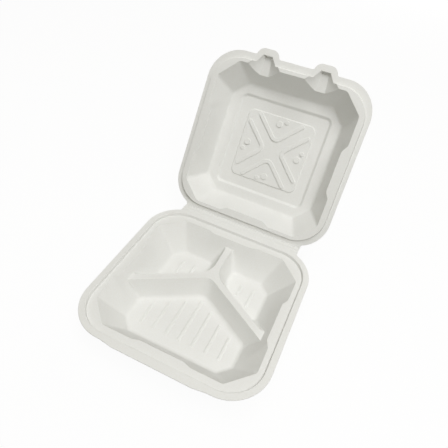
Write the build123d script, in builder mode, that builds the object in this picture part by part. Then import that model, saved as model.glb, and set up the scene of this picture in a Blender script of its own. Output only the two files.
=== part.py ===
from build123d import *
from math import atan2, cos, degrees, radians, sin, sqrt, tan
import os

# A three-compartment lunch box pressed from plant fibre: a tray with a Y-shaped divider, a lid
# with a raised pattern, and the creased web that joins them along the back edge.
# Millimetres. X runs along the hinge, +Y points to the hinge, +Z is up.
# The origin is the middle of the tray's underside.

# Sheet thickness
tray_wall = 1.3
lid_wall = 0.5
hinge_wall = 0.5

# Tray
tray_width = 230.0
tray_depth = 225.0
tray_height = 41.0
tray_corner = 48.0
rim_width = 7.5          # high outer ring
rim_step = 4.0           # drop from that ring to the ledge inside it
step_run = 1.0           # lean of the step
ledge_x = 6.5            # ledge beside the side walls
ledge_y = 9.0            # ledge at the front and back
tray_cut = 27.0          # corner cut of the cavity at the ledge
tray_foot_cut = 14.0     # corner cut at the floor
tray_lean_x = 29.0       # how far the side walls lean in on their way down
tray_lean_y = 24.0       # how far the front and back walls lean in
lip_width = 126.0        # tongue along the tray's front edge
lip_reach = 2.2
lip_slope = 16.0         # length of each sloping end

# Y-shaped divider
divider_drop = 14.0      # its top below the rim
divider_width = 8.4
junction_y = 33.4        # middle of the Y
arm_end_y = -27.0        # where the side arms reach the tops of the side walls
flank_lean = 10.0
apex_round = 15.0        # front corner between the side arms
branch_round = 30.0      # rear corners between the arms

# Middle panels of the walls, which start further in and meet the wall above the floor
panel_half = 27.0
panel_flare = 9.0
panel_foot_half = 45.0
panel_foot_rise = 6.0    # above the floor
tray_inset_x = 4.5
tray_inset_y = 2.7
lid_inset = 5.4
lid_inset_back = 5.0

# Rounding
corner_round = 8.0
floor_round = 7.0

# Ribs on the floors
rib_pitch = 17.5
rib_width = 4.0
rib_height = 1.0
rib_gap = 9.0            # from the foot of the divider
rib_gap_y = 15.5         # from the foot of the front or rear wall
rib_least = 12.0         # a shorter one is left out

# Lid
ring_height = 3.7        # ring that drops inside the tray's step
ring_play = 0.5
lip_side = 6.0           # flat lip outside the ring
lip_back = 6.0
lip_front = 9.2
lid_corner = 43.0
lid_ledge_x = 7.6
lid_ledge_y = 4.6
lid_cut = 25.0
lid_foot_cut = 20.0
lid_drop = 31.0          # from the lid's edge to its flat border
lid_lean_x = 17.5
lid_lean_y = 19.0
lid_round = 4.5

# Top panel of the lid, with its pattern as shares of the patterned field's half width
border_width = 14.2
plateau_rise = 3.0
plateau_run = 3.0
plateau_round = 9.0
field_inset = 17.0
field_sink = 1.7
chevron_start = 0.257
chevron_end = 0.885
chevron_bend = 0.165
chevron_width = 5.6
dot_out = 0.78
dot_big = 0.095
dot_small = 0.062
dot_sides = 16
relief = 1.5

# Locking tabs
tab_x = 39.5
tab_width = 31.0
tab_reach = 9.7
tab_root = 3.0           # rounding where a tab leaves the edge
tab_sink = 0.5           # how far the tab's middle line lies behind the edge
channel_end = 1.2        # past the lid's edge
channel_half = 6.3
channel_depth = 6.0
channel_deep = 11.5
channel_flare = 0.75

# Hinge
open_angle = 57.3        # lid's plane above level, at rest
hinge_gap_y = 11.7       # from the tray's edge to the lid's edge
hinge_gap_z = 1.5
hinge_overrun = 20.0     # past the start of the tray's rounded corners
root_round = 4.0         # where the web's ends run into the rims

floor_z = tray_wall
ledge_z = tray_height - rim_step
divider_z = tray_height - divider_drop
cavity_x = tray_width / 2 - rim_width - step_run - ledge_x
cavity_y = tray_depth / 2 - rim_width - step_run - ledge_y
arm_angle = degrees(atan2(junction_y - arm_end_y, cavity_x))
arm_side = junction_y * cos(radians(arm_angle))
hinge_width = tray_width - 2 * tray_corner + 2 * hinge_overrun


def wall(turn, reach, foot_reach, top, foot, grow):
    """Plane of a leaning wall that faces the side at this turn, moved out by grow."""
    place = Vector(reach, 0, top).rotate(Axis.Z, turn)
    outward = Vector(top - foot, 0, foot_reach - reach).rotate(Axis.Z, turn)
    return Plane(place, z_dir=outward).offset(grow)


def stands(edge):
    """True for an edge that climbs, false for a level one."""
    return edge.bounding_box().size.Z > 3


def leaning_space(half_x, half_y, cut, lean_x, lean_y, foot_cut, top, foot, grow):
    """Space between four leaning walls and four leaning corner cuts, moved out by grow."""
    corner = (half_x + half_y - cut) / sqrt(2)
    corner_foot = corner - (lean_x + lean_y + foot_cut - cut) / sqrt(2)
    with BuildPart() as space:
        with Locations((0, 0, foot - grow)):
            Box(
                2 * tray_width, 2 * tray_depth, top - foot + grow,
                align=(Align.CENTER, Align.CENTER, Align.MIN),
            )
        for turn in (0, 90, 180, 270):
            reach, lean = (half_x, lean_x) if turn in (0, 180) else (half_y, lean_y)
            side = wall(turn, reach, reach - lean, top, foot, grow)
            split(bisect_by=side, keep=Keep.BOTTOM)
            split(bisect_by=wall(turn + 45, corner, corner_foot, top, foot, grow), keep=Keep.BOTTOM)
        fillet(space.edges().filter_by(stands), corner_round + grow)
    return space.part


def panel_wedge(turn, reach, lean, inset, top, foot, grow):
    """What a wall's middle panel takes from the space inside it."""
    foot_reach = reach - lean * (top - foot) / (top - foot + panel_foot_rise)
    with BuildPart() as wedge:
        with Locations((reach, 0, top)):
            Box(2 * lean + 2 * panel_flare, 3 * panel_foot_half, 3 * tray_height + 3 * lid_drop)
        panel = wall(0, reach - inset, foot_reach, top, foot, grow)
        split(bisect_by=panel, keep=Keep.TOP)
        for sign in (1, -1):
            outer = Vector(reach, sign * (panel_half + panel_flare), top)
            inner = Vector(reach - inset, sign * panel_half, top)
            meet = Vector(foot_reach, sign * panel_foot_half, foot)
            out = (inner - outer).cross(meet - outer)
            flare = Plane(outer, z_dir=out * sign * out.Y).offset(-grow)
            split(bisect_by=flare, keep=Keep.BOTTOM)
    return wedge.part.rotate(Axis.Z, turn)


def fillet_floor(part, radius):
    """Round the lowest face's outline."""
    fillet(part.faces().sort_by(Axis.Z)[0].edges(), radius)


# Tray


def tray_cavity(grow):
    """Space over the tray's sheet below the ledge with plain walls, moved out by grow."""
    return leaning_space(
        cavity_x, cavity_y, tray_cut, tray_lean_x, tray_lean_y, tray_foot_cut,
        ledge_z, floor_z, grow,
    )


def tray_panels(grow):
    """What the middle panels take from that space, moved out by grow."""
    foot = floor_z + panel_foot_rise
    wedges = []
    for turn in (0, 180):
        wedges.append(panel_wedge(turn, cavity_x, tray_lean_x, tray_inset_x, ledge_z, foot, grow))
    for turn in (90, 270):
        wedges.append(panel_wedge(turn, cavity_y, tray_lean_y, tray_inset_y, ledge_z, foot, grow))
    return wedges


def meets_wall(edge):
    """True for an edge between the divider's flank and a wall of the cavity."""
    place = edge.center()
    beside = abs(place.X) > cavity_x - tray_lean_x - 3 and abs(place.Y) < panel_half + panel_flare
    behind = place.Y > cavity_y - tray_lean_y - 3 and abs(place.X) < 2 * divider_width
    return beside or behind


def pocket(flanks, round_between, grow):
    """One compartment below the divider's top, moved out by grow."""
    with BuildPart() as space:
        add(tray_cavity(grow))
        split(bisect_by=Plane.XY.offset(divider_z), keep=Keep.BOTTOM)
        for turn, reach in flanks:
            side = wall(turn, reach, reach - flank_lean, divider_z, floor_z, grow)
            split(bisect_by=side, keep=Keep.BOTTOM)
        standing = space.edges().filter_by(stands)
        between = standing.sort_by_distance((0, junction_y, divider_z))[0]
        fillet(between, round_between + grow)
        fillet(space.edges().filter_by(stands).filter_by(meets_wall), corner_round + grow)
        fillet_floor(space, floor_round + grow)
        for wedge in tray_panels(grow):
            add(wedge, mode=Mode.SUBTRACT)
    return space.part


def rim(inset, height):
    """Rounded outline of the tray's rim, drawn in at the given height."""
    with BuildSketch(Plane.XY.offset(height)) as outline:
        RectangleRounded(tray_width - 2 * inset, tray_depth - 2 * inset, tray_corner - inset)
    return outline.sketch


def at_hinge_root(vertex):
    """True for an inner corner between a rim's rounded corner and the hinge's end."""
    return abs(abs(vertex.X) - hinge_width / 2) < 0.01 and vertex.Y < tray_depth / 2 - 1


def floor_ribs():
    """Middle and length of each rib on the floors, in front of the side arms and behind them."""
    arm_foot = divider_width / 2 + flank_lean
    end_y = cavity_y - tray_lean_y - rib_gap_y
    outermost = int((cavity_x - tray_lean_x - floor_round - rib_width) / rib_pitch)
    ribs = []
    for side in (-1, 1):
        foot = (arm_side + side * arm_foot) / cos(radians(arm_angle))
        for step in range(-outermost, outermost + 1):
            x = step * rib_pitch
            near_y = foot - abs(x) * tan(radians(arm_angle)) + side * rib_gap
            length = end_y - side * near_y
            beside_arm = side < 0 or abs(x) > arm_foot + floor_round
            if beside_arm and length > rib_least:
                ribs.append((x, side * (end_y - length / 2), length))
    return ribs


front_flanks = [
    (90 - arm_angle, arm_side - divider_width / 2),
    (90 + arm_angle, arm_side - divider_width / 2),
]
right_flanks = [
    (180, -divider_width / 2),
    (270 - arm_angle, -arm_side - divider_width / 2),
]
left_flanks = [
    (0, -divider_width / 2),
    (270 + arm_angle, -arm_side - divider_width / 2),
]
pockets = [(front_flanks, apex_round), (right_flanks, branch_round), (left_flanks, branch_round)]
spaces = [pocket(flanks, round_between, 0) for flanks, round_between in pockets]
skins = [pocket(flanks, round_between, tray_wall) for flanks, round_between in pockets]
step_taper = degrees(atan2(step_run, rim_step))
step_side = tray_wall / cos(radians(step_taper)) - tray_wall * step_run / rim_step
with BuildPart() as upper_space:
    add(tray_cavity(0))
    split(bisect_by=Plane.XY.offset(divider_z), keep=Keep.TOP)
    for wedge in tray_panels(0):
        add(wedge, mode=Mode.SUBTRACT)
with BuildPart() as upper_skin:
    add(tray_cavity(tray_wall))
    split(bisect_by=Plane.XY.offset(divider_z - tray_wall), keep=Keep.TOP)
    for wedge in tray_panels(tray_wall):
        add(wedge, mode=Mode.SUBTRACT)

with BuildPart() as tray:
    with BuildSketch(Plane.XY.offset(tray_height)) as plate:
        add(rim(0, 0))
        with Locations((0, tray_depth / 2 - tray_corner / 4)):
            Rectangle(hinge_width, tray_corner / 2)
        fillet(plate.vertices().filter_by(at_hinge_root), root_round)
        with Locations((0, -tray_depth / 2)):
            Polygon(
                (-lip_width / 2, 0), (lip_slope - lip_width / 2, -lip_reach),
                (lip_width / 2 - lip_slope, -lip_reach), (lip_width / 2, 0),
                (lip_width / 2, rim_width / 2), (-lip_width / 2, rim_width / 2), align=None,
            )
    extrude(amount=-tray_wall)
    with BuildSketch(Plane.XY.offset(tray_height - tray_wall)):
        add(rim(rim_width - step_side, 0))
    extrude(amount=-rim_step, taper=step_taper)
    add(upper_skin.part)
    for skin in skins:
        add(skin)
    with BuildSketch(Plane.XY.offset(tray_height)):
        add(rim(rim_width, 0))
    extrude(amount=-rim_step, taper=step_taper, mode=Mode.SUBTRACT)
    add(upper_space.part, mode=Mode.SUBTRACT)
    for space in spaces:
        add(space, mode=Mode.SUBTRACT)
    for x, y, length in floor_ribs():
        with BuildSketch(Plane.XY.offset(floor_z)):
            with Locations((x, y)):
                Rectangle(rib_width, length)
        extrude(amount=rib_height, taper=40)


# Lid, drawn lying open: its edge at Z = 0, its inside up, the middle of its ring at the origin

ring_x = tray_width / 2 - rim_width - ring_play
ring_y = tray_depth / 2 - rim_width - ring_play
ring_corner = tray_corner - rim_width - ring_play
ring_taper = degrees(atan2(step_run, ring_height))
ring_side = lid_wall / cos(radians(ring_taper)) - lid_wall * step_run / ring_height
edge_x = ring_x + lip_side
edge_y = ring_y + lip_front
back_y = ring_y + lip_back
lid_cavity_x = ring_x - step_run - lid_ledge_x
lid_cavity_y = ring_y - step_run - lid_ledge_y
border_z = -lid_drop
plateau_x = lid_cavity_x - lid_lean_x - border_width
plateau_y = lid_cavity_y - lid_lean_y - border_width
plateau_z = border_z - plateau_rise
plateau_taper = degrees(atan2(plateau_run, plateau_rise))
field_x = plateau_x - field_inset
field_y = plateau_y - field_inset
field_z = plateau_z + field_sink
pattern = min(field_x, field_y)
channel_run = edge_y + channel_end - lid_cavity_y + 10


def lid_cavity(grow):
    """Space inside the lid above its flat border, moved out by grow."""
    foot = border_z + panel_foot_rise
    with BuildPart() as space:
        add(
            leaning_space(
                lid_cavity_x, lid_cavity_y, lid_cut, lid_lean_x, lid_lean_y, lid_foot_cut,
                ring_height, border_z, grow,
            )
        )
        for turn, reach, lean, inset in (
            (0, lid_cavity_x, lid_lean_x, lid_inset),
            (180, lid_cavity_x, lid_lean_x, lid_inset),
            (270, lid_cavity_y, lid_lean_y, lid_inset_back),
        ):
            wedge = panel_wedge(turn, reach, lean, inset, ring_height, foot, grow)
            add(wedge, mode=Mode.SUBTRACT)
        fillet_floor(space, lid_round + grow)
    return space.part


def channel(grow):
    """Hollow that runs from the lid's front wall into a tab, moved out by grow."""
    with BuildPart() as space:
        for place, half, floor_half, depth in (
            (edge_y + channel_end + grow, channel_half, channel_half - 1.8, channel_depth),
            (
                edge_y + channel_end - channel_run,
                channel_half + channel_flare * channel_run, channel_half, channel_deep,
            ),
        ):
            lean = (half - floor_half) / depth
            with BuildSketch(Plane.XZ.offset(-place)):
                with BuildLine():
                    Polyline(
                        (-floor_half - grow, -depth - grow), (floor_half + grow, -depth - grow),
                        (half + lean * ring_height + grow, ring_height),
                        (-half - lean * ring_height - grow, ring_height), close=True,
                    )
                make_face()
        loft(ruled=True)
        if grow:
            with BuildSketch():
                with Locations((0, ring_y + edge_y - step_run / 2)):
                    Rectangle(2 * edge_x, 2 * edge_y)
            extrude(amount=ring_height + 1, mode=Mode.SUBTRACT)
    return space.part


def lid_outline():
    """Plan of the lid's edge, with its tabs and the root of the hinge."""
    with BuildSketch() as outline:
        with Locations((0, (edge_y - back_y) / 2)):
            RectangleRounded(2 * edge_x, edge_y + back_y, lid_corner)
        with Locations((0, lid_corner / 4 - back_y)):
            Rectangle(hinge_width, lid_corner / 2)
        fillet(
            outline.vertices().filter_by(lambda v: abs(abs(v.X) - hinge_width / 2) < 0.01)
            .group_by(Axis.Y)[-1],
            root_round,
        )
        with Locations((-tab_x, edge_y - tab_sink), (tab_x, edge_y - tab_sink)):
            SlotOverall(tab_width, 2 * (tab_reach + tab_sink))
        fillet(
            outline.vertices().filter_by(lambda v: abs(v.Y - edge_y) < 0.01)
            .filter_by(lambda v: abs(abs(v.X) - tab_x) < tab_width / 2 + 0.1),
            tab_root,
        )
    return outline.sketch


def panel(half_x, half_y, corner, drawn_in):
    """Rounded plan of a step in the lid's top panel."""
    with BuildSketch() as outline:
        RectangleRounded(2 * (half_x - drawn_in), 2 * (half_y - drawn_in), corner - drawn_in)
    return outline.sketch


def chevron(turn, width):
    """Plan of one V of the lid's pattern."""
    start = chevron_start * pattern
    end = chevron_end * pattern
    with BuildSketch() as outline:
        with BuildLine():
            FilletPolyline(
                (start - end, end), (0, start), (end - start, end), radius=chevron_bend * pattern
            )
            offset(amount=width / 2)
        make_face()
    return outline.sketch.rotate(Axis.Z, turn)


def dots(turn):
    """Plan of the two dots in the mouth of one V."""
    side = 1 if turn in (0, 180) else -1
    with BuildSketch() as outline:
        with Locations((-side * dot_small * pattern / 2, dot_out * pattern)):
            RegularPolygon(dot_big * pattern, dot_sides)
        with Locations((side * 2.7 * dot_small * pattern, (dot_out + dot_big) * pattern)):
            RegularPolygon(dot_small * pattern, dot_sides)
    return outline.sketch.rotate(Axis.Z, turn)


with BuildPart() as flat_lid:
    with BuildSketch():
        add(lid_outline())
    extrude(amount=-lid_wall)
    with BuildSketch():
        RectangleRounded(2 * ring_x, 2 * ring_y, ring_corner)
    extrude(amount=ring_height, taper=ring_taper)
    with BuildSketch(Plane.XY.offset(-lid_wall)):
        RectangleRounded(2 * (ring_x - ring_side), 2 * (ring_y - ring_side), ring_corner - ring_side)
    extrude(amount=ring_height, taper=ring_taper, mode=Mode.SUBTRACT)
    add(lid_cavity(lid_wall))
    with Locations((-tab_x, 0), (tab_x, 0)):
        add(channel(lid_wall))
    with BuildSketch(Plane.XY.offset(border_z - lid_wall)):
        add(panel(plateau_x, plateau_y, plateau_round, -lid_wall))
    extrude(amount=-plateau_rise, taper=plateau_taper)
    add(lid_cavity(0), mode=Mode.SUBTRACT)
    with Locations((-tab_x, 0), (tab_x, 0)):
        add(channel(0), mode=Mode.SUBTRACT)
    with BuildSketch(Plane.XY.offset(border_z)):
        add(panel(plateau_x, plateau_y, plateau_round, 0))
    extrude(amount=-plateau_rise, taper=plateau_taper, mode=Mode.SUBTRACT)
    with BuildSketch(Plane.XY.offset(plateau_z)):
        add(panel(field_x, field_y, plateau_round, 0))
    extrude(amount=field_sink, taper=40)
    with BuildSketch(Plane.XY.offset(plateau_z - lid_wall)):
        add(panel(field_x, field_y, plateau_round, lid_wall))
    extrude(amount=field_sink, taper=40, mode=Mode.SUBTRACT)
    with BuildSketch(Plane.XY.offset(field_z)):
        for turn in (0, 90, 180, 270):
            add(chevron(turn, chevron_width))
            add(dots(turn))
    extrude(amount=relief)
    with BuildSketch(Plane.XY.offset(field_z - lid_wall)):
        for turn in (0, 90, 180, 270):
            add(chevron(turn, chevron_width - 2 * lid_wall))
    extrude(amount=relief, mode=Mode.SUBTRACT)

lid_edge = Plane(
    origin=(0, tray_depth / 2 + hinge_gap_y, tray_height - hinge_gap_z),
    x_dir=(1, 0, 0),
    z_dir=(0, -sin(radians(open_angle)), cos(radians(open_angle))),
)
lid_place = Plane(
    origin=lid_edge.from_local_coords((0, back_y, 0)),
    x_dir=lid_edge.x_dir,
    z_dir=lid_edge.z_dir,
)
with BuildPart(lid_place) as lid:
    add(flat_lid.part)

# Hinge web

rim_back = tray_depth / 2
lid_back_y = rim_back + hinge_gap_y
lid_back_z = tray_height - hinge_gap_z
with BuildPart() as hinge:
    with BuildSketch(Plane.YZ):
        with BuildLine():
            Polyline(
                (rim_back, tray_height),
                (rim_back + 1.2, tray_height - 0.7),
                (rim_back + 3.4, tray_height),
                (rim_back + 6.4, tray_height - 1.1),
                (rim_back + 9.0, tray_height - 0.7),
                (lid_back_y, lid_back_z),
                (
                    lid_back_y + lid_wall * sin(radians(open_angle)),
                    lid_back_z - lid_wall * cos(radians(open_angle)),
                ),
                (rim_back + 8.9, tray_height - 0.7 - hinge_wall),
                (rim_back + 6.4, tray_height - 1.1 - hinge_wall),
                (rim_back + 3.4, tray_height - hinge_wall),
                (rim_back + 1.2, tray_height - 0.7 - hinge_wall),
                (rim_back, tray_height - tray_wall),
                close=True,
            )
        make_face()
    extrude(amount=hinge_width / 2, both=True)

tray.part.label = "tray"
lid.part.label = "lid"
hinge.part.label = "hinge_web"
os.makedirs("parts", exist_ok=True)
export_step(tray.part, "parts/tray.step")
export_step(lid.part, "parts/lid.step")
export_step(hinge.part, "parts/hinge_web.step")
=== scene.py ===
import math

import bpy
from mathutils import Matrix, Vector


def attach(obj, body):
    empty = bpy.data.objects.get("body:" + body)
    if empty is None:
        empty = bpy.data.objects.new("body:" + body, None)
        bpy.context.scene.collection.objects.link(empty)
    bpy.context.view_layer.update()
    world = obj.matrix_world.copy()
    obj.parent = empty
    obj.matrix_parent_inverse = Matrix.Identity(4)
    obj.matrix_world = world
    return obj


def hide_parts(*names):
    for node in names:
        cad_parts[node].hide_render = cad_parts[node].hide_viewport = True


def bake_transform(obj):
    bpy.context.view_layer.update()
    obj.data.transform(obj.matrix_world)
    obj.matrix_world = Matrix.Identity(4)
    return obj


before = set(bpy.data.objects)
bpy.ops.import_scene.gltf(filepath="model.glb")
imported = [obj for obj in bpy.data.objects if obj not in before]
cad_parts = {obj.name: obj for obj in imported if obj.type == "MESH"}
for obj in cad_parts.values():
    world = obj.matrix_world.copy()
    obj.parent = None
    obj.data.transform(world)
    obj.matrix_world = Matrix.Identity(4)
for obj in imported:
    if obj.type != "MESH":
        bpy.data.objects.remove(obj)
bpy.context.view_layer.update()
scene = bpy.context.scene

# Moulded-fibre lunch box, standing open. Metres, in the frame of the CAD model:
# X runs along the hinge, +Y points from the front rim to the hinge, +Z is up, the table is Z = 0.

RIM_BACK = 0.1125        # back edge of the tray's rim
RIM_TOP = 0.041          # its height
LID_EDGE_Y = 0.1242      # lower edge of the lid
LID_EDGE_Z = 0.0395
LID_TILT = math.radians(57.3)
LID_MIDDLE = 0.1105      # from the lid's lower edge to the middle of its pattern
WEB_HALF = 0.087         # half the length of the creased web between the rims
WEB_SHEET = 0.0005       # its thickness

LEVEL = 0.0001           # an edge that climbs less than this is level
DOUBLES = 2e-6           # points closer than this are one
BODY_MIDDLE = (0, 0.06, 0.06)  # where the lamps over the box aim


# Materials


def fibre_material(name, tint, mottle, grain):
    """Pressed plant fibre: felted grain, faint clouding and a dull surface."""
    material = bpy.data.materials.new(name)
    material.use_nodes = True
    nodes = material.node_tree.nodes
    links = material.node_tree.links
    shader = nodes["Principled BSDF"]
    shader.inputs["IOR"].default_value = 1.45
    shader.inputs["Specular IOR Level"].default_value = 0.42
    place = nodes.new("ShaderNodeTexCoord")

    clouds = nodes.new("ShaderNodeTexNoise")
    clouds.inputs["Scale"].default_value = 38
    clouds.inputs["Detail"].default_value = 3
    links.new(place.outputs["Object"], clouds.inputs["Vector"])

    felt = nodes.new("ShaderNodeTexNoise")
    felt.inputs["Scale"].default_value = 620
    felt.inputs["Detail"].default_value = 5
    felt.inputs["Roughness"].default_value = 0.62
    felt.inputs["Distortion"].default_value = 1.4
    links.new(place.outputs["Object"], felt.inputs["Vector"])

    pores = nodes.new("ShaderNodeTexVoronoi")
    pores.inputs["Scale"].default_value = 1250
    links.new(place.outputs["Object"], pores.inputs["Vector"])

    spread = nodes.new("ShaderNodeMix")
    spread.data_type = "RGBA"
    spread.inputs["A"].default_value = (*[c * (1 - mottle) for c in tint], 1)
    spread.inputs["B"].default_value = (*tint, 1)
    links.new(clouds.outputs["Fac"], spread.inputs["Factor"])

    flecked = nodes.new("ShaderNodeMix")
    flecked.data_type = "RGBA"
    flecked.blend_type = "MULTIPLY"
    flecked.inputs["Factor"].default_value = 0.5
    fleck = nodes.new("ShaderNodeValToRGB")
    fleck.color_ramp.elements[0].position = 0.30
    fleck.color_ramp.elements[0].color = (0.93, 0.91, 0.86, 1)
    fleck.color_ramp.elements[1].position = 0.62
    fleck.color_ramp.elements[1].color = (1, 1, 1, 1)
    links.new(felt.outputs["Fac"], fleck.inputs["Fac"])
    links.new(spread.outputs["Result"], flecked.inputs["A"])
    links.new(fleck.outputs["Color"], flecked.inputs["B"])
    links.new(flecked.outputs["Result"], shader.inputs["Base Color"])

    dull = nodes.new("ShaderNodeMapRange")
    dull.inputs["To Min"].default_value = 0.55
    dull.inputs["To Max"].default_value = 0.78
    links.new(felt.outputs["Fac"], dull.inputs["Value"])
    links.new(dull.outputs["Result"], shader.inputs["Roughness"])

    height = nodes.new("ShaderNodeMath")
    height.operation = "MULTIPLY_ADD"
    height.inputs[1].default_value = 0.45
    links.new(pores.outputs["Distance"], height.inputs[0])
    links.new(felt.outputs["Fac"], height.inputs[2])
    bump = nodes.new("ShaderNodeBump")
    bump.inputs["Strength"].default_value = grain
    bump.inputs["Distance"].default_value = 0.00025
    links.new(height.outputs["Value"], bump.inputs["Height"])
    links.new(bump.outputs["Normal"], shader.inputs["Normal"])
    return material


fibre = fibre_material("pressed_fibre", (0.861, 0.868, 0.862), 0.03, 0.35)


# Tray and lid, with the soft edges of pressed pulp


def tray_rounding(a, b):
    """Rounding of the sharp edge between two points of the tray, or None.

    Rim, ledge and divider's top, from the top down, then the ribs, then what lies between.
    """
    height = (a.z + b.z) / 2
    if abs(a.z - b.z) > LEVEL:
        return None
    if height > 0.039:
        return 0.0006
    if height > 0.035:
        return 0.0013
    if height > 0.0265:
        return 0.002
    if height < 0.0025:
        return 0.0004
    return 0.0008


def in_lid(point):
    """A point as seen in the open lid: across it, up from its lower edge, and into it."""
    low = point - Vector((0, LID_EDGE_Y, LID_EDGE_Z))
    up = low.y * math.cos(LID_TILT) + low.z * math.sin(LID_TILT)
    into = low.z * math.cos(LID_TILT) - low.y * math.sin(LID_TILT)
    return Vector((point.x, up, into))


def lid_rounding(a, b):
    """Rounding of the sharp edge between two points of the lid, or None.

    First the edge, the ring and the walls, then, from the middle out: pattern, field, plateau.
    """
    a, b = in_lid(a), in_lid(b)
    middle = (a + b) / 2
    reach = max(abs(middle.x), abs(middle.y - LID_MIDDLE))
    if abs(a.z - b.z) > LEVEL:
        return None
    if middle.z > -0.029:
        return 0.0007
    if reach < 0.0465:
        return 0.0009 if middle.z > -0.0317 else 0.0004
    if reach < 0.052:
        return 0.00085
    if reach < 0.069:
        return 0.0015
    return None


def soft_shell(node, name, rounding_of, least, cuts=()):
    """The node's sheet, with its level edges sharper than least rounded as pressed pulp is.

    Each cut, a point and a direction, divides flat faces that would run in a ring round a step.
    """
    bpy.ops.object.select_all(action="DESELECT")
    shell = bpy.data.objects.new(name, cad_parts[node].data.copy())
    scene.collection.objects.link(shell)
    bpy.context.view_layer.objects.active = shell
    shell.select_set(True)
    bpy.ops.mesh.customdata_custom_splitnormals_clear()
    bpy.ops.object.mode_set(mode="EDIT")
    bpy.ops.mesh.select_mode(type="EDGE")
    bpy.ops.mesh.select_all(action="SELECT")
    bpy.ops.mesh.remove_doubles(threshold=1e-6)
    for point, direction in cuts:
        bpy.ops.mesh.select_all(action="SELECT")
        bpy.ops.mesh.bisect(plane_co=point, plane_no=direction)
        bpy.ops.mesh.mark_seam()
    bpy.ops.mesh.select_all(action="SELECT")
    bpy.ops.mesh.dissolve_limited(angle_limit=math.radians(0.5), delimit={"SEAM"})
    bpy.ops.mesh.select_all(action="DESELECT")
    bpy.ops.mesh.edges_select_sharp(sharpness=math.radians(least))
    bpy.ops.object.mode_set(mode="OBJECT")
    widths = shell.data.attributes.new("rounding", "FLOAT", "EDGE")
    for edge in shell.data.edges:
        if edge.select:
            a, b = (shell.data.vertices[i].co for i in edge.vertices)
            widths.data[edge.index].value = rounding_of(a, b) or 0
    for width in sorted({round(item.value, 6) for item in widths.data} - {0}, reverse=True):
        mesh = shell.data
        weights = mesh.attributes.new("bevel_weight_edge", "FLOAT", "EDGE")
        for item, weight in zip(mesh.attributes["rounding"].data, weights.data):
            weight.value = 1 if abs(item.value - width) < 1e-5 else 0
        bevel = shell.modifiers.new("rounding", "BEVEL")
        bevel.limit_method = "WEIGHT"
        bevel.width = width
        bevel.segments = 3
        bpy.ops.object.modifier_apply(modifier="rounding")
        mesh.attributes.remove(mesh.attributes["bevel_weight_edge"])
    bpy.ops.object.mode_set(mode="EDIT")
    bpy.ops.mesh.select_all(action="SELECT")
    bpy.ops.mesh.remove_doubles(threshold=DOUBLES)
    bpy.ops.mesh.dissolve_degenerate(threshold=DOUBLES)
    bpy.ops.object.mode_set(mode="OBJECT")
    bpy.ops.object.shade_smooth_by_angle(angle=math.radians(40))
    flat = shell.modifiers.new("flat", "WEIGHTED_NORMAL")
    flat.weight = 100
    flat.keep_sharp = True
    bpy.ops.object.modifier_apply(modifier="flat")
    shell.data.materials.clear()
    shell.data.materials.append(fibre)
    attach(shell, node)
    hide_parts(node)


soft_shell("tray", "tray_shell", tray_rounding, 19)
up_the_lid = Vector((0, math.cos(LID_TILT), math.sin(LID_TILT)))
pattern_middle = Vector((0, LID_EDGE_Y, LID_EDGE_Z)) + LID_MIDDLE * up_the_lid
soft_shell(
    "lid",
    "lid_shell",
    lid_rounding,
    24,
    [(pattern_middle, Vector((1, 0, 0))), (pattern_middle, up_the_lid)],
)


# Creased web


def pick_edges(test):
    """Select the edges of the mesh in edit mode whose two ends both pass the test."""
    bpy.ops.mesh.select_all(action="DESELECT")
    bpy.ops.object.mode_set(mode="OBJECT")
    mesh = bpy.context.object.data
    for edge in mesh.edges:
        if all(test(mesh.vertices[i].co) for i in edge.vertices):
            edge.select = True
            for i in edge.vertices:
                mesh.vertices[i].select = True
    bpy.ops.object.mode_set(mode="EDIT")


def creased_web():
    """Strip between the two rims, with its two folds, long enough to bend."""
    bpy.ops.object.select_all(action="DESELECT")
    first = (RIM_BACK + 0.0012, RIM_TOP - 0.0007)
    bpy.ops.mesh.primitive_plane_add(size=1, location=(0, 0, 0))
    web = bpy.context.object
    web.name = "hinge_strip"
    web.scale = (2 * WEB_HALF, first[0] - RIM_BACK, 1)
    web.location = (0, (first[0] + RIM_BACK) / 2, RIM_TOP)
    bpy.ops.object.transform_apply(location=True, rotation=True, scale=True)
    for vertex in web.data.vertices:
        if vertex.co.y > RIM_BACK + 0.0005:
            vertex.co.z = first[1]
    bpy.ops.object.mode_set(mode="EDIT")
    bpy.ops.mesh.select_mode(type="EDGE")
    stations = [
        first,
        (RIM_BACK + 0.0034, RIM_TOP),
        (RIM_BACK + 0.0064, RIM_TOP - 0.0011),
        (RIM_BACK + 0.0090, RIM_TOP - 0.0007),
        (LID_EDGE_Y, LID_EDGE_Z),
    ]
    for before, after in zip(stations, stations[1:]):
        pick_edges(lambda co, y=before[0]: abs(co.y - y) < 1e-5)
        bpy.ops.mesh.extrude_region_move(
            TRANSFORM_OT_translate={"value": (0, after[0] - before[0], after[1] - before[1])}
        )
    for place in stations[:-1]:
        pick_edges(lambda co, y=place[0]: abs(co.y - y) < 1e-5)
        bpy.ops.mesh.bevel(offset=0.0006, segments=3, affect="EDGES")
    bpy.ops.mesh.select_all(action="SELECT")
    bpy.ops.mesh.normals_make_consistent(inside=False)
    bpy.ops.object.mode_set(mode="OBJECT")
    sheet = web.modifiers.new("sheet", "SOLIDIFY")
    sheet.thickness = WEB_SHEET
    sheet.offset = -1
    bpy.ops.object.modifier_apply(modifier="sheet")
    bpy.ops.object.shade_smooth_by_angle(angle=math.radians(50))
    return web


web = creased_web()
web.data.materials.append(fibre)
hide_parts("hinge_web")
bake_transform(web)


# Floor, light and camera


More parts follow.
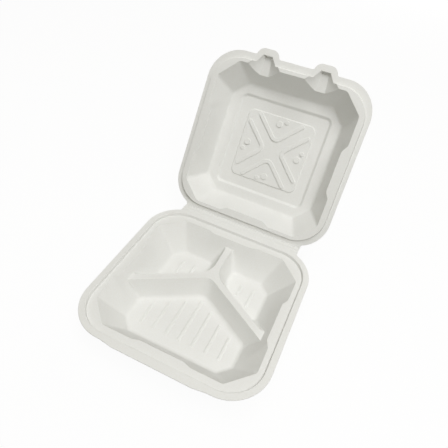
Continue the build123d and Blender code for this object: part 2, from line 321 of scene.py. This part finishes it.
def white_stage(name, size, location):
    """Pale surface that the camera sees nearly white and that keeps the object's shadow."""
    bpy.ops.object.select_all(action="DESELECT")
    bpy.ops.mesh.primitive_plane_add(size=size, location=location)
    floor = bpy.context.object
    floor.name = name
    material = bpy.data.materials.new(name)
    material.use_nodes = True
    nodes = material.node_tree.nodes
    links = material.node_tree.links
    nodes.remove(nodes["Principled BSDF"])
    matt = nodes.new("ShaderNodeBsdfDiffuse")
    tone = nodes.new("ShaderNodeMix")
    tone.data_type = "RGBA"
    tone.inputs["A"].default_value = (0.4, 0.4, 0.39, 1)
    tone.inputs["B"].default_value = (0.9, 0.9, 0.9, 1)
    white = nodes.new("ShaderNodeEmission")
    white.inputs["Color"].default_value = (1, 1, 1, 1)
    rays = nodes.new("ShaderNodeLightPath")
    share = nodes.new("ShaderNodeMath")
    share.operation = "MULTIPLY"
    share.inputs[1].default_value = 0.95
    links.new(rays.outputs["Is Camera Ray"], share.inputs[0])
    links.new(rays.outputs["Is Camera Ray"], tone.inputs["Factor"])
    links.new(tone.outputs["Result"], matt.inputs["Color"])
    mix = nodes.new("ShaderNodeMixShader")
    links.new(share.outputs["Value"], mix.inputs[0])
    links.new(matt.outputs["BSDF"], mix.inputs[1])
    links.new(white.outputs["Emission"], mix.inputs[2])
    links.new(mix.outputs["Shader"], nodes["Material Output"].inputs["Surface"])
    floor.data.materials.append(material)


white_stage("floor", 8, (0, 0, -0.0003))

world = bpy.data.worlds.new("studio")
scene.world = world
world.use_nodes = True
world_nodes = world.node_tree.nodes
backdrop = world_nodes["Background"]
backdrop.inputs["Color"].default_value = (1, 0.96, 0.8, 1)
backdrop.inputs["Strength"].default_value = 0.25
seen = world_nodes.new("ShaderNodeBackground")
seen.inputs["Color"].default_value = (1, 1, 1, 1)
seen.inputs["Strength"].default_value = 1.0
rays = world_nodes.new("ShaderNodeLightPath")
mix = world_nodes.new("ShaderNodeMixShader")
world.node_tree.links.new(rays.outputs["Is Camera Ray"], mix.inputs[0])
world.node_tree.links.new(backdrop.outputs["Background"], mix.inputs[1])
world.node_tree.links.new(seen.outputs["Background"], mix.inputs[2])
world.node_tree.links.new(mix.outputs["Shader"], world_nodes["World Output"].inputs["Surface"])


def softbox(name, place, target, size, power):
    """Large soft lamp that faces a point."""
    bpy.ops.object.light_add(type="AREA", location=place)
    lamp = bpy.context.object
    lamp.name = name
    lamp.data.shape = "DISK"
    lamp.data.size = size
    lamp.data.energy = power
    aim = Vector(target) - Vector(place)
    lamp.rotation_euler = aim.to_track_quat("-Z", "Y").to_euler()
    lamp.visible_camera = False


softbox("key", (0.53, -0.47, 1.36), BODY_MIDDLE, 0.8, 10.4)
softbox("top", (0.05, 0.06, 1.56), BODY_MIDDLE, 0.8, 5.8)
softbox("behind", (0, 2.6, 0.7), (0, 0.2, 0.12), 0.5, 18)

camera = bpy.data.objects.new("camera", bpy.data.cameras.new("camera"))
scene.collection.objects.link(camera)
# Place and turn fitted to the photo
right = Vector((0.9040, 0.4154, 0.1011))
forward = Vector((-0.2372, 0.6839, -0.6899))
right = (right - right.dot(forward.normalized()) * forward.normalized()).normalized()
back = -forward.normalized()
up = back.cross(right)
turn = Matrix((right, up, back)).transposed().to_4x4()
camera.matrix_world = Matrix.Translation((0.11459, -0.28002, 0.43702)) @ turn
camera.data.sensor_width = 36
camera.data.lens = 32.97
camera.data.clip_start = 0.01
scene.camera = camera

scene.view_settings.view_transform = "Standard"
